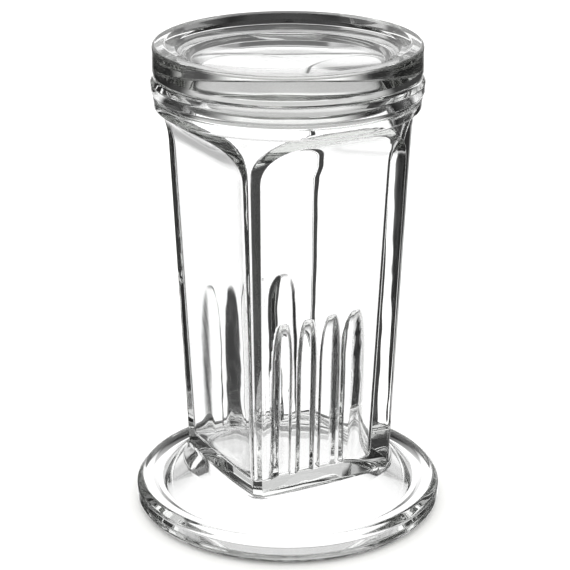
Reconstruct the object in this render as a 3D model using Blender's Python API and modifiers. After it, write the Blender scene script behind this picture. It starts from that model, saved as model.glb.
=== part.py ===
"""Slide staining jar with its glass cover.

Two pressed pieces of clear glass. The jar is one pressing: a round foot, a square tapered body
with rounded corners, a round collar with a beaded rim, and four upright ribs on each of two
opposite inner walls, which part five slots for microscope slides. The lid is a thick round
cover with a dished top and a plug underneath that drops into the jar's mouth.

Frame: +Z up, origin at the centre of the foot's underside. The ribbed walls face -Y and +Y.
"""

import math

import bmesh
import bpy

MM = 0.001
TURN_STEPS = 72
FLOOR_STEPS = 4
FLARE_STEPS = 8
CORNER_STEPS = 5

# Foot
FOOT_RADIUS = 34.0
FOOT_RIM_ROUND = 3.1          # radius of the half-round edge
FOOT_VALLEY_RADIUS = 28.6     # shallow valley just inside the rim
FOOT_VALLEY_Z = 5.5
HOLLOW_RADIUS = 26.5          # hollow under the foot, which follows the slope of its top
HOLLOW_TOP_RADIUS = 17.5
HOLLOW_DEPTH = 7.4
HOLLOW_CROWN = 0.4            # rise of the hollow's roof towards its middle

# Body: a cone with four flats, all with the same draft
BODY_BASE_Z = 10.2
CORNER_RADIUS_BASE = 23.0     # from the axis to a rounded corner
FLAT_BASE = 17.2              # from the axis to a flat
DRAFT = 0.045                 # growth of the corner radius per unit of height
FLAT_DRAFT = 0.0395
RUN_OUT = 9.5                 # radius where a flat curves out into the neck
NECK_Z = 91.2                 # top of the flats

# Collar and rim
COLLAR_RADIUS = 28.4
COLLAR_BASE_Z = 91.6
BEAD_Z = 96.2
BEAD_RADIUS = 28.95
BEAD_BASE_Z = 94.2
JAR_TOP_Z = 98.7
MOUTH_RADIUS = 22.8

# Cavity
FLOOR_Z = 13.0
CAVITY_BASE = 14.0            # from the axis to an inner wall, at the floor
CAVITY_DRAFT = 0.0345
CAVITY_CORNER = 1.2
CAVITY_FLOOR_ROUND = 0.9
CAVITY_SHIFT = -1.4           # the plunger went in off centre along X
SHOULDER_Z = 92.6             # where the square cavity has opened into the round mouth
SHOULDER_ROUND = 9.0          # radius on which the inner walls curve out below it
FLARE_ANGLE = 80.0            # how far round that curve the plunger goes
MOUTH_TAPER = 0.4             # how much the round mouth narrows down to the shoulder
BELOW_MOUTH_SLOPE = 0.055     # widening of the round outline below the shoulder

# Slide ribs
RIBS_PER_WALL = 4
RIB_PITCH = 5.9
RIB_HALF_WIDTH = 1.95
RIB_HEIGHT = 2.2
RIB_ROOT = 1.2                # how deep a rib is let into the wall
RIB_TOP_Z = 49.2
RIB_FADE = 6.0                # length over which a rib tapers to its tip
RIB_TIP = 0.35                # size of the tip as a share of the rib's section

# Lid
GAP = 0.3                     # between the ground faces
LID_RADIUS = 28.6
LID_TOP_Z = 105.0
LID_EDGE_ROUND = 0.95
LID_CREST_RADIUS = 25.8       # inner edge of the flat crest
LID_RING_RADIUS = 23.6        # inner edge of the raised ring, which slopes inwards
LID_RING_Z = 104.15
DISH_EDGE_RADIUS = 22.6
DISH_EDGE_Z = 103.4
DISH_CENTRE_Z = 101.0
PLUG_RADIUS = 22.2
PLUG_BASE_Z = 94.0
PLUG_ROUND = 0.3


def collection(name):
    made = bpy.data.collections.new(name)
    bpy.context.scene.collection.children.link(made)
    return made


def glass(name, colour):
    material = bpy.data.materials.new(name)
    material.use_nodes = True
    shader = material.node_tree.nodes["Principled BSDF"]
    shader.inputs["Base Color"].default_value = (*colour, 1.0)
    shader.inputs["Roughness"].default_value = 0.0
    shader.inputs["Metallic"].default_value = 0.0
    shader.inputs["IOR"].default_value = 1.52
    shader.inputs["Transmission Weight"].default_value = 1.0
    return material


def arc(centre_r, centre_z, radius, start, end, count):
    """Points on a circle in the profile plane, from one angle in degrees to another."""
    points = []
    for step in range(count + 1):
        angle = math.radians(start + (end - start) * step / count)
        points.append((centre_r + radius * math.cos(angle), centre_z + radius * math.sin(angle)))
    return points


def turned(name, profile, home):
    """A solid turned round Z from (radius, height) points, listed from top to bottom."""
    mesh = bpy.data.meshes.new(name)
    vertices = [(r * MM, 0.0, z * MM) for r, z in profile]
    edges = [(i, i + 1) for i in range(len(profile) - 1)]
    mesh.from_pydata(vertices, edges, [])
    turned_object = bpy.data.objects.new(name, mesh)
    home.objects.link(turned_object)
    screw = turned_object.modifiers.new("Turn", "SCREW")
    screw.axis = "Z"
    screw.steps = TURN_STEPS
    screw.render_steps = TURN_STEPS
    screw.use_merge_vertices = True
    screw.merge_threshold = 0.00001
    screw.use_normal_calculate = False
    return turned_object


def mesh_object(name, shape, home):
    mesh = bpy.data.meshes.new(name)
    shape.to_mesh(mesh)
    shape.free()
    made = bpy.data.objects.new(name, mesh)
    home.objects.link(made)
    return made


def as_cutter(tool):
    tool.hide_render = True
    tool.display_type = "WIRE"
    return tool


def boolean(target, tool, operation):
    modifier = target.modifiers.new(operation.title() + " " + tool.name, "BOOLEAN")
    modifier.object = tool
    modifier.operation = operation
    modifier.solver = "EXACT"


def flat_half_width(z):
    return FLAT_BASE + FLAT_DRAFT * (z - BODY_BASE_Z)


def corner_radius(z):
    return CORNER_RADIUS_BASE + DRAFT * (z - BODY_BASE_Z)


def cavity_half_width(z):
    return CAVITY_BASE + CAVITY_DRAFT * (z - FLOOR_Z)


def jar_profile():
    """Outline of the foot, the cone that the body is cut from, the collar and the rim."""
    rim_centre = FOOT_RADIUS - FOOT_RIM_ROUND
    profile = [(0.0, JAR_TOP_Z), (MOUTH_RADIUS + 2.0, JAR_TOP_Z)]
    profile += arc(BEAD_RADIUS - 2.4, JAR_TOP_Z - 1.0, 1.0, 90, 45, 2)
    profile += arc(BEAD_RADIUS - 2.5, BEAD_Z, 2.5, 25, -35, 5)
    profile += [(COLLAR_RADIUS - 0.1, BEAD_BASE_Z), (COLLAR_RADIUS, BEAD_BASE_Z - 0.5)]
    profile += arc(COLLAR_RADIUS - 0.8, COLLAR_BASE_Z + 0.8, 0.8, 0, -90, 3)
    profile += [(corner_radius(NECK_Z), COLLAR_BASE_Z - 0.5)]
    profile += [(corner_radius(BODY_BASE_Z), BODY_BASE_Z)]
    profile += [(FOOT_VALLEY_RADIUS, FOOT_VALLEY_Z)]
    profile += arc(rim_centre, FOOT_RIM_ROUND, FOOT_RIM_ROUND, 100, -90, 12)
    profile += [(0.0, 0.0)]
    return profile


def flat_cutter(home):
    """Block outside one flat; its rounded inner top edge leaves the curved run-out."""
    depth = 40.0
    width = 60.0
    shape = bmesh.new()
    bmesh.ops.create_cube(shape, size=1.0)
    for vertex in shape.verts:
        z = NECK_Z if vertex.co.z > 0 else BODY_BASE_Z
        y = -flat_half_width(z) if vertex.co.y > 0 else -depth
        vertex.co = (vertex.co.x * width * MM, y * MM, z * MM)
    inner_top = [
        edge for edge in shape.edges
        if all(v.co.z > 0.05 and v.co.y > -0.03 for v in edge.verts)
    ]
    bmesh.ops.bevel(shape, geom=inner_top, offset=RUN_OUT * MM, segments=8, profile=0.5,
                    affect="EDGES")
    return as_cutter(mesh_object("flat_cutter", shape, home))


def plunger_levels():
    """Height and half width of the square plunger: round end, straight draft, flare at the top."""
    levels = []
    for step in range(FLOOR_STEPS + 1):
        angle = math.radians(90 * step / FLOOR_STEPS)
        z = FLOOR_Z + CAVITY_FLOOR_ROUND * (1 - math.cos(angle))
        levels.append((z, cavity_half_width(z) - CAVITY_FLOOR_ROUND * (1 - math.sin(angle))))
    for step in range(FLARE_STEPS + 1):
        angle = math.radians(FLARE_ANGLE * step / FLARE_STEPS)
        z = SHOULDER_Z - SHOULDER_ROUND + SHOULDER_ROUND * math.sin(angle)
        levels.append((z, cavity_half_width(z) + SHOULDER_ROUND * (1 - math.cos(angle))))
    levels.append((JAR_TOP_Z + 2.0, levels[-1][1]))
    return levels


def square_ring(shape, z, half):
    """One level of the plunger: a square with rounded corners."""
    ring = []
    reach = (half - CAVITY_CORNER) * math.sqrt(2)
    for quarter in range(4):
        diagonal = math.radians(90 * quarter + 45)
        for step in range(CORNER_STEPS + 1):
            angle = math.radians(90 * (quarter + step / CORNER_STEPS))
            x = CAVITY_SHIFT + reach * math.cos(diagonal) + CAVITY_CORNER * math.cos(angle)
            y = reach * math.sin(diagonal) + CAVITY_CORNER * math.sin(angle)
            ring.append(shape.verts.new((x * MM, y * MM, z * MM)))
    return ring


def plunger_cutter(home):
    """Tapered square plunger with rounded corners, cut at its flared top by the round mouth."""
    shape = bmesh.new()
    rings = [square_ring(shape, z, half) for z, half in plunger_levels()]
    for lower, upper in zip(rings, rings[1:]):
        for index, vertex in enumerate(lower):
            shape.faces.new((lower[index - 1], vertex, upper[index], upper[index - 1]))
    shape.faces.new(rings[0][::-1])
    shape.faces.new(rings[-1])
    bmesh.ops.recalc_face_normals(shape, faces=shape.faces)
    plunger = mesh_object("plunger_cutter", shape, home)
    boolean(plunger, mouth_outline(home), "INTERSECT")
    return as_cutter(plunger)


def mouth_outline(home):
    """Round mouth with a slight draft, and the wide cone below it that holds the square cavity."""
    neck = MOUTH_RADIUS - MOUTH_TAPER
    above = JAR_TOP_Z + 1.0
    below = FLOOR_Z - 1.0
    profile = [(0.0, above), (MOUTH_RADIUS, above), (MOUTH_RADIUS, JAR_TOP_Z - 0.5), (neck, SHOULDER_Z)]
    profile += [(neck + BELOW_MOUTH_SLOPE * (SHOULDER_Z - below), below), (0.0, below)]
    return as_cutter(turned("mouth_outline", profile, home))


def hollow_cutter(home):
    """Hollow under the foot: a sloped side that follows the foot's top, and a nearly flat roof."""
    below = -2.0
    profile = [(0.0, HOLLOW_DEPTH + HOLLOW_CROWN), (HOLLOW_TOP_RADIUS / 2, HOLLOW_DEPTH + HOLLOW_CROWN / 2)]
    profile += [(HOLLOW_TOP_RADIUS - 1.5, HOLLOW_DEPTH), (HOLLOW_TOP_RADIUS, HOLLOW_DEPTH - 0.5)]
    profile += [(HOLLOW_RADIUS, 0.0), (HOLLOW_RADIUS, below), (0.0, below)]
    return as_cutter(turned("hollow_cutter", profile, home))


def rib(index, side, home):
    """Half-round upright rib, leaning with the wall, with a rounded top."""
    across = CAVITY_SHIFT + (index - (RIBS_PER_WALL - 1) / 2) * RIB_PITCH
    shape = bmesh.new()
    bmesh.ops.create_cone(shape, cap_ends=True, segments=12, radius1=1.0, radius2=1.0, depth=1.0)
    top_ring = [v for v in shape.verts if v.co.z > 0]
    top_face = [f for f in shape.faces if all(v in top_ring for v in f.verts)]
    moved = bmesh.ops.extrude_face_region(shape, geom=top_face)["geom"]
    tip = [v for v in moved if isinstance(v, bmesh.types.BMVert)]
    bmesh.ops.delete(shape, geom=top_face, context="FACES")
    for vertex in tip:
        vertex.co = (vertex.co.x * RIB_TIP, vertex.co.y * RIB_TIP, 1.0)
    for vertex in shape.verts:
        if vertex in tip:
            z = RIB_TOP_Z
        else:
            z = RIB_TOP_Z - RIB_FADE if vertex.co.z > 0 else FLOOR_Z - 1.0
        wall = cavity_half_width(z)
        inward = vertex.co.y * (RIB_HEIGHT if vertex.co.y > 0 else RIB_ROOT)
        vertex.co = (
            (across + vertex.co.x * RIB_HALF_WIDTH) * MM,
            side * (wall - inward) * MM,
            z * MM,
        )
    bmesh.ops.recalc_face_normals(shape, faces=shape.faces)
    return as_cutter(mesh_object(f"rib_{index}_{'back' if side > 0 else 'front'}", shape, home))


def make_jar(parts, tools):
    jar = turned("jar", jar_profile(), parts)
    first_flat = flat_cutter(tools)
    for quarter in range(4):
        flat = first_flat if quarter == 0 else first_flat.copy()
        if quarter:
            tools.objects.link(flat)
        flat.rotation_euler.z = quarter * math.pi / 2
        boolean(jar, flat, "DIFFERENCE")
    boolean(jar, plunger_cutter(tools), "DIFFERENCE")
    boolean(jar, hollow_cutter(tools), "DIFFERENCE")
    for side in (-1, 1):
        for index in range(RIBS_PER_WALL):
            boolean(jar, rib(index, side, tools), "UNION")
    jar.data.materials.append(glass("jar_glass", (0.93, 0.96, 0.95)))
    return jar


def lid_profile():
    """Dished top, raised ring, ground flange and the plug."""
    flange_z = JAR_TOP_Z + GAP
    dish_steps = 5
    profile = []
    for step in range(dish_steps + 1):
        t = step / dish_steps
        profile.append((DISH_EDGE_RADIUS * t, DISH_CENTRE_Z + (DISH_EDGE_Z - DISH_CENTRE_Z) * t * t))
    profile += [(LID_RING_RADIUS, LID_RING_Z), (LID_CREST_RADIUS, LID_TOP_Z)]
    profile += arc(LID_RADIUS - LID_EDGE_ROUND, LID_TOP_Z - LID_EDGE_ROUND, LID_EDGE_ROUND, 90, 0, 4)
    profile += [(LID_RADIUS - 0.05, flange_z + 0.4), (LID_RADIUS - 0.45, flange_z)]
    profile += [(PLUG_RADIUS, flange_z), (PLUG_RADIUS - 0.3, PLUG_BASE_Z + PLUG_ROUND)]
    profile += [(PLUG_RADIUS - 0.3 - PLUG_ROUND, PLUG_BASE_Z), (0.0, PLUG_BASE_Z)]
    return profile


def make_lid(parts):
    lid = turned("lid", lid_profile(), parts)
    lid.data.materials.append(glass("lid_glass", (0.95, 0.96, 0.95)))
    return lid


for leftover in list(bpy.data.objects):
    bpy.data.objects.remove(leftover, do_unlink=True)

slide_staining_jar = collection("slide_staining_jar")
cutters = collection("cutters")
for piece in (make_jar(slide_staining_jar, cutters), make_lid(slide_staining_jar)):
    piece.data.shade_smooth()
    piece.data.set_sharp_from_angle(angle=math.radians(35))
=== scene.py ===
"""A slide staining jar of clear pressed glass with its loose glass cover, on a pale table."""
import math

import bpy
import numpy as np
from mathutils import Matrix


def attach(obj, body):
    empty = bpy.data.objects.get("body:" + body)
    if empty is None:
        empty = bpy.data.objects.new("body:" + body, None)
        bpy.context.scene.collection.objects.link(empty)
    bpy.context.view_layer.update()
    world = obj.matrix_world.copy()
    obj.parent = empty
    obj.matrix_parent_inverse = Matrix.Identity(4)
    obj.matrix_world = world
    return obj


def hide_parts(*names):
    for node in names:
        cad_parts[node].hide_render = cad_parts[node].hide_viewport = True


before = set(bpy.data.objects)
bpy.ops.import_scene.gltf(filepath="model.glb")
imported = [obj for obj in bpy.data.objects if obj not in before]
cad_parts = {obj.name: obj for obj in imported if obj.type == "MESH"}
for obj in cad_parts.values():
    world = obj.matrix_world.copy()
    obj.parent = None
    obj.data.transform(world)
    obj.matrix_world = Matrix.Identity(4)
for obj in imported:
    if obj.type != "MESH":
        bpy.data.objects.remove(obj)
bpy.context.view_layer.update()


# ---------------------------------------------------------------------------------------------
# Jar. One pressing of clear flint glass: a foot, a tapered body with four flats, a round collar
# and a beaded rim outside; a square cavity with four slide ribs on two opposite walls inside.
# The mould shapes the outside and a square plunger the inside, and flame takes off the sharp edges.

MM = 0.001                    # sizes below are in millimetres
FLAT_COLUMNS = 29             # columns over half a flat
CORNER_COLUMNS = 12           # columns over half a rounded corner

FOOT_FILLET = 0.6             # between the foot and the body
FOOT_FILLET_REACH = 0.8
FOOT_TOP_RADIUS = 22.6        # where the foot's slope meets its level middle

BASE_Z = 10.2                 # where the body stands on the foot
CONE_RADIUS, CONE_DRAFT = 23.0, 0.045
FLAT_DISTANCE, FLAT_DRAFT = 17.32, 0.0395
EDGE_SOFTNESS = 0.12          # how far flame has softened the edge between cone and flat
ROLL, ROLL_REACH = 0.45, 4.0  # how far a flat rolls over beside its edge
NECK_Z = 91.2                 # top of the flats
RUN_OUT = 9.5                 # radius on which they curve out into the neck

JAR_TOP = 98.7
MOUTH = 22.8
MOUTH_DRAFT = 0.4
NECK_WIDENING = 0.055         # slope of the cone below the round mouth

FLOOR_Z = 13.0
FLOOR_ROUND = 0.9
CAVITY_HALF, CAVITY_HALF_Z = 14.0, 14.0     # from the axis to a wall, and the height of that size
CAVITY_DRAFT = 0.0345
NEAR_FAR_CORNER, SIDE_CORNER = 0.4, 1.4     # radii of the inner corners on the two diagonals
CAVITY_SHIFT = -1.4                         # the plunger went in off centre
SHOULDER_Z, SHOULDER_ROUND = 92.6, 9.0      # the walls curve out to the mouth up to here

RIB_PITCH, RIB_HEIGHT = 5.9, 2.2
RIB_CROWN, RIB_FLANK = 1.4, 0.9             # half the width of a rib's crown, and the width of its flank
RIB_FADE, RIB_TOP = 12.0, 49.2              # the last length over which a rib fades out, and its end
BACK_RIB_LOWER, BACK_RIB_SHORTER = 0.8, 1.5


def rounded(corners, steps=6):
    """Outline of straight runs with each corner (r, z, radius) turned into an arc that touches both
    of its runs; an arc's points lie at even angles."""
    straight = math.pi - 0.02
    corners = np.array(corners, float)
    path = [corners[0, :2]]
    for before, here, after in zip(corners, corners[1:], corners[2:]):
        to_before = before[:2] - here[:2]
        to_after = after[:2] - here[:2]
        to_before /= np.hypot(*to_before)
        to_after /= np.hypot(*to_after)
        opening = math.acos(np.clip(to_before @ to_after, -1, 1))
        if here[2] <= 0 or opening > straight:
            path.append(here[:2])
            continue
        bisector = (to_before + to_after) / np.hypot(*(to_before + to_after))
        reach = here[2] / math.tan(opening / 2)
        middle = here[:2] + bisector * here[2] / math.sin(opening / 2)
        start = here[:2] + to_before * reach - middle
        end = here[:2] + to_after * reach - middle
        turn = math.atan2(start[0] * end[1] - start[1] * end[0], start @ end)
        angles = np.linspace(0, turn, steps + 1)[:, None]
        sideways = np.array([-start[1], start[0]])
        path.extend(middle + np.cos(angles) * start + np.sin(angles) * sideways)
    path.append(corners[-1, :2])
    return np.array(path)


def from_wall_middle(angle):
    """Angle from the middle of the nearest side of the square, 0 to 45 degrees, in radians."""
    return np.abs((angle + math.pi / 4) % (math.pi / 2) - math.pi / 4)


def ease(share):
    """Smooth step t * t * (3 - 2 t) from 0 to 1."""
    return share * share * (3 - 2 * share)


def corner_radius(z):
    """Radius of the cone that the body's corners lie on: a straight draft."""
    return CONE_RADIUS + CONE_DRAFT * (z - BASE_Z)


def flat_distance(z):
    """From the axis to a flat: a straight draft, then a quarter circle out to the neck."""
    straight = FLAT_DISTANCE + FLAT_DRAFT * (z - BASE_Z)
    above = np.clip(z - (NECK_Z - RUN_OUT), 0, RUN_OUT)
    return straight + RUN_OUT - np.sqrt(RUN_OUT ** 2 - above ** 2)


def body_angles(z):
    """Column angles at each height, with one column always on the edge between flat and corner:
    arccos(flat distance / cone radius). Columns lie closer together towards that edge."""
    nearly_one = 0.9995
    edge = np.arccos(np.clip(flat_distance(z) / (corner_radius(z) + ROLL), -1, nearly_one))[:, None]
    over_flat = np.sin(np.linspace(0, math.pi / 2, FLAT_COLUMNS + 1))
    over_corner = 1 - np.cos(np.linspace(0, math.pi / 2, CORNER_COLUMNS + 1)[1:])
    eighth = np.hstack([edge * over_flat, edge + (math.pi / 4 - edge) * over_corner])
    quarter = np.hstack([eighth, math.pi / 2 - eighth[:, -2:0:-1]])
    return np.hstack([quarter + k * math.pi / 2 for k in range(4)])


def body_radius(z, angle):
    """The smaller of the corner's cone and the flat's plane, with a slightly softened edge. The
    plane falls away by ROLL * (1 - g / ROLL_REACH)^2 where it lies g inside the cone."""
    cone = corner_radius(z) + 0 * angle
    plane = flat_distance(z) / np.cos(from_wall_middle(angle))
    plane = plane - ROLL * np.clip(1 - (cone - plane) / ROLL_REACH, 0, 1) ** 2
    overlap = np.clip(EDGE_SOFTNESS - np.abs(cone - plane), 0, None) / EDGE_SOFTNESS
    return np.minimum(cone, plane) - overlap ** 2 * EDGE_SOFTNESS / 4


def cavity_angles(count):
    """Column angles inside: even steps of a running total that counts a degree three times over the
    ribs and four times in the corners."""
    mean_half, rib_zone, corner_zone = 14.8, 11.5, 13.0
    steps_round = 7200
    fine = np.linspace(0, 2 * math.pi, steps_round + 1)
    lateral = mean_half * np.tan(from_wall_middle(fine))
    over_ribs = (np.abs(np.sin(fine)) > math.sqrt(0.5)) & (lateral < rib_zone)
    density = 1.0 + 2.0 * over_ribs + 3.0 * (lateral > corner_zone)
    total = np.concatenate([[0], np.cumsum((density[1:] + density[:-1]) / 2)])
    return np.interp(np.arange(count) / count * total[-1], total, fine)[None, :]


def cavity_radius(z, angle):
    """A square with slightly rounded corners, less the ribs on the walls that face -Y and +Y: from
    its crown a rib falls by t * t * (3 - 2 t) over its flank; it narrows as it fades at its top. The
    walls curve out in a quarter circle at the top, up to the cone that leads to the round mouth."""
    above = np.clip(z - SHOULDER_Z + SHOULDER_ROUND, 0, SHOULDER_ROUND)
    flare = SHOULDER_ROUND - np.sqrt(SHOULDER_ROUND ** 2 - above ** 2)
    half = CAVITY_HALF + CAVITY_DRAFT * (z - CAVITY_HALF_Z) + flare
    near_or_far = np.sin(2 * angle) > 0
    corner = np.where(near_or_far, NEAR_FAR_CORNER, SIDE_CORNER)
    from_middle = from_wall_middle(angle)
    wall = half / np.cos(from_middle)
    centre = half - corner
    along = centre * (np.cos(from_middle) + np.sin(from_middle))
    arc = along + np.sqrt(np.clip(corner ** 2 - (2 * centre ** 2 - along ** 2), 0, None))
    radius = np.where(wall * np.sin(from_middle) > centre, arc, wall)
    radius = np.minimum(radius, MOUTH - MOUTH_DRAFT + NECK_WIDENING * (SHOULDER_Z - z))

    back = np.sin(angle) > 0
    ribbed = np.abs(np.sin(angle)) > np.abs(np.cos(angle))
    into_fade = (z - RIB_TOP + BACK_RIB_SHORTER * back + RIB_FADE) / RIB_FADE
    strength = np.sqrt(1 - np.clip(into_fade, 0, 1) ** 2)
    lateral = half * np.tan(from_middle)
    from_rib = np.minimum(np.abs(lateral - RIB_PITCH / 2), np.abs(lateral - RIB_PITCH * 1.5))
    fall = np.clip((from_rib - RIB_CROWN * strength) / RIB_FLANK, 0, 1)
    height = (RIB_HEIGHT - BACK_RIB_LOWER * back) * strength * (1 - ease(fall))
    return radius - np.where(ribbed, height / np.cos(from_middle), 0)


def ring_surface(name, x, y, z):
    """A closed surface from a grid of rings; the first and the last ring close on their middles."""
    rows, columns = x.shape
    points = np.stack([x, y, z], axis=-1)
    ends = points[[0, -1]].mean(axis=1)
    vertices = np.concatenate([points.reshape(-1, 3), ends]) * MM
    index = np.arange(rows * columns).reshape(rows, columns)
    beside = np.roll(index, -1, axis=1)
    quads = np.stack([index[:-1], beside[:-1], beside[1:], index[1:]], axis=-1).reshape(-1, 4)
    first = np.stack([np.full(columns, rows * columns), beside[0], index[0]], axis=-1)
    last = np.stack([np.full(columns, rows * columns + 1), index[-1], beside[-1]], axis=-1)
    mesh = bpy.data.meshes.new(name)
    mesh.from_pydata(vertices.tolist(), [], quads.tolist() + first.tolist() + last.tolist())
    mesh.update()
    mesh.shade_smooth()
    made = bpy.data.objects.new(name, mesh)
    bpy.context.collection.objects.link(made)
    return made


def jar_rings():
    """Rings from the middle of the underside, round the foot, up the outside, over the rim, down the
    cavity and across its floor: x = r cos a + shift, y = r sin a."""
    x, y, height = [], [], []

    def add(r, z, a, shift=0.0):
        z = np.asarray(z, float).reshape(-1, 1)
        r = r + 0 * (z + a)
        x.append(r * np.cos(a) + shift)
        y.append(r * np.sin(a))
        height.append(z + 0 * r)

    # hollow underside, standing ring, rim, valley and the slope up to the body
    at_base = body_angles(np.array([BASE_Z]))
    foot = rounded([(0, 7.8, 0), (17.5, 7.4, 5.0), (26.5, 0, 1.2), (30.5, 0, 0.8), (32.6, 0.2, 1.5),
                    (33.96, 1.6, 1.6), (33.96, 4.8, 1.4), (32.6, 6.2, 1.4), (30.6, 6.2, 1.2),
                    (28.6, 5.3, 1.6), (23.3, BASE_Z, 0.9), (21.0, BASE_Z, 0)])[1:-1]
    add(foot[:, :1], foot[:, 1], at_base)
    share = np.array([0.5, 0.9])[:, None]
    fillet_edge = body_radius(BASE_Z, at_base) + FOOT_FILLET_REACH
    add(FOOT_TOP_RADIUS + (fillet_edge - FOOT_TOP_RADIUS) * share, np.full(2, BASE_Z), at_base)

    # fillet, body and the run-out of its flats
    turn = np.radians([0, 22.5, 45, 67.5])[:, None]
    z = BASE_Z + FOOT_FILLET * (1 - np.cos(turn))
    add(body_radius(z, at_base) + FOOT_FILLET * (1 - np.sin(turn)), z, at_base)
    turn = np.linspace(0, math.pi / 2, 28)[1:-1]
    z = np.concatenate([np.linspace(BASE_Z + FOOT_FILLET, NECK_Z - RUN_OUT, 28),
                        NECK_Z - RUN_OUT + RUN_OUT * np.sin(turn)])
    on_body = body_angles(z)
    add(body_radius(z[:, None], on_body), z, on_body)

    # collar, bead, rim and the round mouth
    inside = cavity_angles(at_base.size)
    collar = rounded([(26.64, NECK_Z, 0), (26.66, 91.6, 0.25), (28.35, 91.6, 0.7), (28.4, 94.0, 0.25),
                      (28.15, 94.25, 0.25), (28.9, 95.2, 0.9), (28.9, 97.2, 1.2), (28.2, JAR_TOP, 0.9),
                      (MOUTH, JAR_TOP, 0.5), (MOUTH - MOUTH_DRAFT, SHOULDER_Z, 0)])
    share = np.linspace(0, 1, len(collar))[:, None]
    add(collar[:, :1], collar[:, 1], on_body[-1:] * (1 - share) + inside * share)

    # shoulder, plain walls, the ribs' fading tops and the ribs
    share = np.linspace(0, 1, 31)[1:]
    z = SHOULDER_Z - SHOULDER_ROUND * share
    add(cavity_radius(z[:, None], inside), z, inside, CAVITY_SHIFT * ease(share)[:, None])
    fade = RIB_TOP - RIB_FADE * (1 - np.sin(np.linspace(math.pi / 2, 0, 28)))
    z = np.concatenate([np.linspace(z[-1], RIB_TOP + 0.3, 16)[1:], fade,
                        np.linspace(RIB_TOP - RIB_FADE, FLOOR_Z + FLOOR_ROUND, 14)[1:]])
    add(cavity_radius(z[:, None], inside), z, inside, CAVITY_SHIFT)

    # rounded foot of the walls, and the floor
    at_floor = cavity_radius(FLOOR_Z, inside)
    turn = np.radians(np.linspace(0, 90, 8)[1:])[:, None]
    add(at_floor - FLOOR_ROUND * (1 - np.cos(turn)), FLOOR_Z + FLOOR_ROUND * (1 - np.sin(turn)),
        inside, CAVITY_SHIFT)
    share = np.array([0.85, 0.6, 0.3, 0.1])[:, None]
    add((at_floor - FLOOR_ROUND) * share, np.full(4, FLOOR_Z), inside, CAVITY_SHIFT)
    return np.vstack(x), np.vstack(y), np.vstack(height)


def linear(hex_colour):
    """sRGB hex to linear RGBA."""
    channels = np.array([int(hex_colour[i:i + 2], 16) for i in (1, 3, 5)]) / 255
    low = channels / 12.92
    high = ((channels + 0.055) / 1.055) ** 2.4
    return (*np.where(channels <= 0.04045, low, high), 1.0)


def add_node(tree, kind, settings=(), inputs=(), links=()):
    """Adds a node, sets its properties and input values, and links other nodes' outputs into it."""
    node = tree.nodes.new(kind)
    for name, value in dict(settings).items():
        setattr(node, name, value)
    for name, value in dict(inputs).items():
        node.inputs[name].default_value = value
    for name, source in dict(links).items():
        tree.links.new(source, node.inputs[name])
    return node


def pressed_glass(name, tint, ripple_mm, ripple_height_mm):
    """Pressed, fire-polished soda-lime glass. It is clear and smooth, so the eye sees only bent and
    mirrored light, a faint grey in the depth, and the slow ripples that a mould leaves."""
    soda_lime_ior = 1.52
    tint_per_metre = 12.0
    material = bpy.data.materials.new(name)
    material.use_nodes = True
    tree = material.node_tree
    shader = tree.nodes["Principled BSDF"]
    shader.inputs["Base Color"].default_value = linear("#ffffff")
    shader.inputs["Roughness"].default_value = 0.0
    shader.inputs["IOR"].default_value = soda_lime_ior
    shader.inputs["Transmission Weight"].default_value = 1.0
    place = add_node(tree, "ShaderNodeTexCoord")
    ripple = add_node(tree, "ShaderNodeTexNoise", inputs={"Scale": 1 / (ripple_mm * MM), "Detail": 1.0},
                      links={"Vector": place.outputs["Object"]})
    bump = add_node(tree, "ShaderNodeBump", inputs={"Strength": 1.0, "Distance": ripple_height_mm * MM},
                    links={"Height": ripple.outputs["Fac"]})
    tree.links.new(bump.outputs["Normal"], shader.inputs["Normal"])
    depth = add_node(tree, "ShaderNodeVolumeAbsorption",
                     inputs={"Color": linear(tint), "Density": tint_per_metre})
    tree.links.new(depth.outputs["Volume"], tree.nodes["Material Output"].inputs["Volume"])
    return material


jar = ring_surface("jar_glass", *jar_rings())
jar.data.materials.append(pressed_glass("pressed_flint_glass_jar", "#dcdedb", 9.0, 0.05))
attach(jar, "jar")
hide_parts("jar")


# ---------------------------------------------------------------------------------------------
# Lid. A thick round cover, pressed in one piece from the same glass: a raised ring round a shallow
# bowl, and a plug below that drops into the mouth. It lies loose on the jar's ground rim.

LID_COLUMNS = 256
LID_TOP = 104.99
LID_RADIUS = 28.58
SEAT_Z = JAR_TOP + 0.3        # the ground faces are drawn this far apart
PLUG_BASE, PLUG_RADIUS = 94.0, 22.2
BOWL_RADIUS, BOWL_BASE, BOWL_DEPTH = 22.6, 100.9, 2.5


def lid_rings():
    """The lid's outline, from the middle of its underside out, up and in over the bowl, turned. The
    bowl's height is BOWL_BASE + BOWL_DEPTH * (r / BOWL_RADIUS)^2."""
    outline = rounded([(0, PLUG_BASE, 0), (21.9, PLUG_BASE, 0.3), (PLUG_RADIUS, SEAT_Z, 0.35),
                       (28.5, SEAT_Z, 0.35), (LID_RADIUS, 100.0, 0.8), (28.45, LID_TOP, 0.7),
                       (25.8, LID_TOP, 1.5), (23.6, 104.15, 0.9), (BOWL_RADIUS, 103.4, 0)], steps=8)
    share = np.linspace(1, 0, 30)[1:-1]
    bowl = np.stack([BOWL_RADIUS * share, BOWL_BASE + BOWL_DEPTH * share ** 2], axis=-1)
    outline = np.vstack([outline[1:], bowl])
    angle = np.linspace(0, 2 * math.pi, LID_COLUMNS + 1)[None, :-1]
    return outline[:, :1] * np.cos(angle), outline[:, :1] * np.sin(angle), outline[:, 1:] + 0 * angle


lid = ring_surface("lid_glass", *lid_rings())
lid.data.materials.append(pressed_glass("pressed_flint_glass_lid", "#dfe0dd", 11.0, 0.03))
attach(lid, "lid")
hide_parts("lid")


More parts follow.
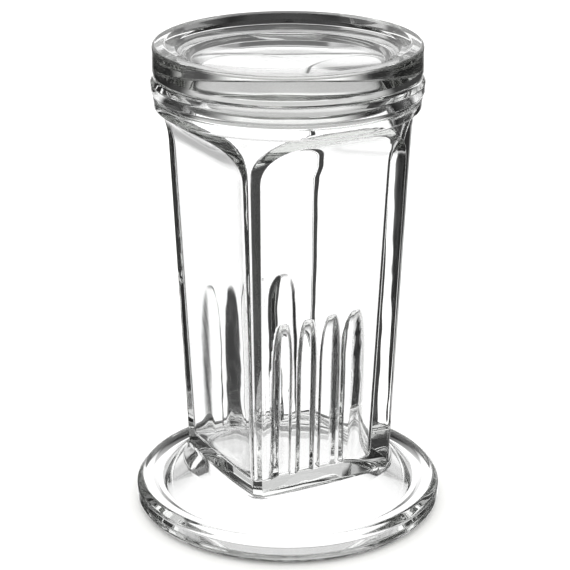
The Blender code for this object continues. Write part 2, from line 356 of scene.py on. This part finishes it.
# ---------------------------------------------------------------------------------------------
# Studio. A pale table under even soft light, and a surround that only the glass sees: white behind
# and below, grey and black at the sides, which draws the dark edges of clear glass.

FOCAL_MM = 126.4
CAMERA_DISTANCE, CAMERA_HEIGHT = 0.4075, 0.2070     # metres, level and up from the table
CAMERA_PITCH, CAMERA_TURN = 20.99, 28.88            # degrees
CAMERA_NUDGE = 0.0015                               # radians to the left
SURROUND_RADIUS = 6.0

camera_data = bpy.data.cameras.new("camera")
camera_data.lens = FOCAL_MM
camera_data.clip_start = 0.01
camera = bpy.data.objects.new("camera", camera_data)
bpy.context.collection.objects.link(camera)
turn = math.radians(CAMERA_TURN)
camera.location = (-CAMERA_DISTANCE * math.sin(turn), -CAMERA_DISTANCE * math.cos(turn), CAMERA_HEIGHT)
camera.rotation_euler = (math.radians(90 - CAMERA_PITCH), 0, CAMERA_NUDGE - turn)
bpy.context.scene.camera = camera

# Table: matt white lacquer. The glass doesn't see it, only its own surround and the sheet below.
bpy.ops.mesh.primitive_plane_add(size=20)
table = bpy.context.active_object
table.name = "table"
lacquer = bpy.data.materials.new("white_matt_lacquer")
lacquer.use_nodes = True
lacquer.node_tree.nodes["Principled BSDF"].inputs["Base Color"].default_value = linear("#f4f4f2")
lacquer.node_tree.nodes["Principled BSDF"].inputs["Roughness"].default_value = 0.9
table.data.materials.append(lacquer)
table.visible_transmission = False
table.visible_glossy = False


def glow(name, strength=1.0, attribute=None):
    """A white material that shines evenly, or by an attribute of its mesh."""
    material = bpy.data.materials.new(name)
    material.use_nodes = True
    tree = material.node_tree
    tree.nodes.clear()
    lamp = add_node(tree, "ShaderNodeEmission", inputs={"Strength": strength})
    if attribute:
        level = add_node(tree, "ShaderNodeAttribute", {"attribute_name": attribute})
        tree.links.new(level.outputs["Fac"], lamp.inputs["Strength"])
    add_node(tree, "ShaderNodeOutputMaterial", links={"Surface": lamp.outputs["Emission"]})
    return material


# Lit sheet: translucent white acrylic just under the foot, which makes the foot clear and bright.
bpy.ops.mesh.primitive_circle_add(vertices=96, radius=0.029, fill_type="NGON", location=(0, 0, -0.0004))
under_light = bpy.context.active_object
under_light.name = "under_light"
under_light.visible_camera = False
under_light.visible_diffuse = False
under_light.visible_shadow = False
under_light.data.materials.append(glow("lit_white_acrylic", 1.25))

world = bpy.data.worlds.new("soft_light")
bpy.context.scene.world = world
world.use_nodes = True
world.node_tree.nodes["Background"].inputs["Color"].default_value = linear("#ffffff")
world.node_tree.nodes["Background"].inputs["Strength"].default_value = 1.6

# Surround: a globe of cloth that turns with the camera and is seen only through the glass.
bpy.ops.mesh.primitive_uv_sphere_add(segments=180, ring_count=90, radius=SURROUND_RADIUS)
surround = bpy.context.active_object
surround.name = "studio_surround"
surround.visible_camera = False
surround.visible_diffuse = False
surround.visible_shadow = False
points = np.empty(3 * len(surround.data.vertices))
surround.data.vertices.foreach_get("co", points)
points = points.reshape(-1, 3) / SURROUND_RADIUS
across = np.degrees(np.arctan2(points[:, 0], -points[:, 2]))        # right of the view line
above = np.degrees(np.arcsin(points[:, 1]))                         # above the view line


def panel(left, right, bottom, top, soft):
    """Brightness of one panel: 1 inside its edges in degrees, falling to 0 over the soft width."""
    within = np.minimum(np.minimum(across - left, right - across),
                        np.minimum(above - bottom, top - above)) / soft + 0.5
    return ease(np.clip(within, 0, 1))


light = 0.02 + 1.5 * panel(-18, 18, -14, 17, 14)            # white sheet behind and below the jar
light += 0.04 * panel(22, 46, -30, 40, 8)                   # grey card on its right
light += 0.04 * panel(-72, -38, -30, 40, 10)                # grey card on its left
light += 0.75 * panel(-34, 34, 17, 60, 10)                  # the sheet's dimmer upper part
light += 0.6 * panel(-130, -78, -30, 45, 12)                # window side
light += 0.25 * panel(70, 120, 0, 50, 10)                   # far side
light += 0.6 * panel(-180, 180, 68, 95, 12)                 # overhead cloth
brightness = surround.data.attributes.new("light", "FLOAT", "POINT")
brightness.data.foreach_set("value", np.clip(light, 0, 1.6))
surround.data.materials.append(glow("studio_cloth", attribute="light"))
surround.parent = camera

# Light crosses many faces on its way through the ribs and the cover.
scene = bpy.context.scene
scene.view_settings.view_transform = "Standard"
scene.cycles.max_bounces = 48
scene.cycles.glossy_bounces = 48
scene.cycles.transmission_bounces = 48
